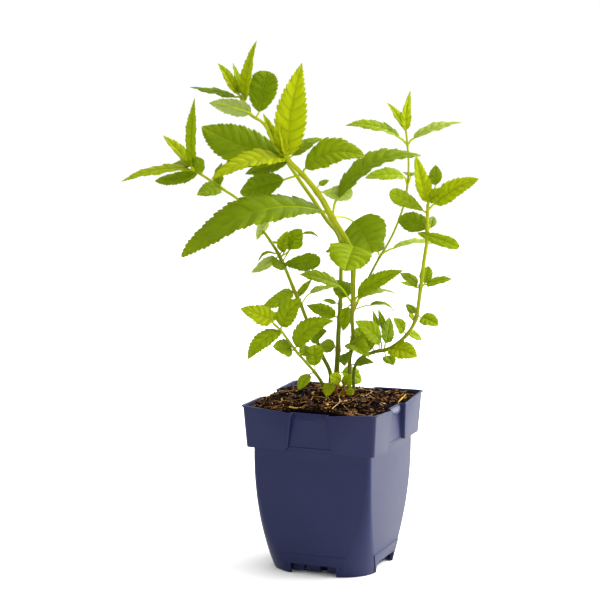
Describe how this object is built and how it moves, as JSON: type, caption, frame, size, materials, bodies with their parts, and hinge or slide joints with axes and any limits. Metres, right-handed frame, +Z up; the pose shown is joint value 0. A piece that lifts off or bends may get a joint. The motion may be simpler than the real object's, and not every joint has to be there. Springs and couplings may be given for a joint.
{
  "type": "potted catmint",
  "caption": "Young catmint with toothed leaves on upright stems, growing in peat soil in a square moulded plastic nursery pot with a deep rim collar.",
  "frame": {"origin": "middle of the pot's underside, on the surface that it stands on", "axes": "+Z up, +X and +Y square to the pot's sides; the picture looks from -Y, turned 22 degrees towards +X"},
  "size_m": [0.2544, 0.1748, 0.3748],
  "materials": {
    "pot_plastic": "satin",
    "peat": "matte",
    "main_leaves": "matte",
    "back_leaves": "matte",
    "left_leaves": "matte",
    "right_leaves": "matte",
    "low_left_leaves": "matte",
    "crown_leaves": "matte"
  },
  "bodies": {
    "root": {"pot": "pot_plastic", "soil": "peat", "stem_main": "main_leaves", "stem_back": "back_leaves", "stem_left": "left_leaves", "stem_right": "right_leaves", "stem_low_left": "low_left_leaves", "stem_crown": "crown_leaves"}
  },
  "joints": []
}
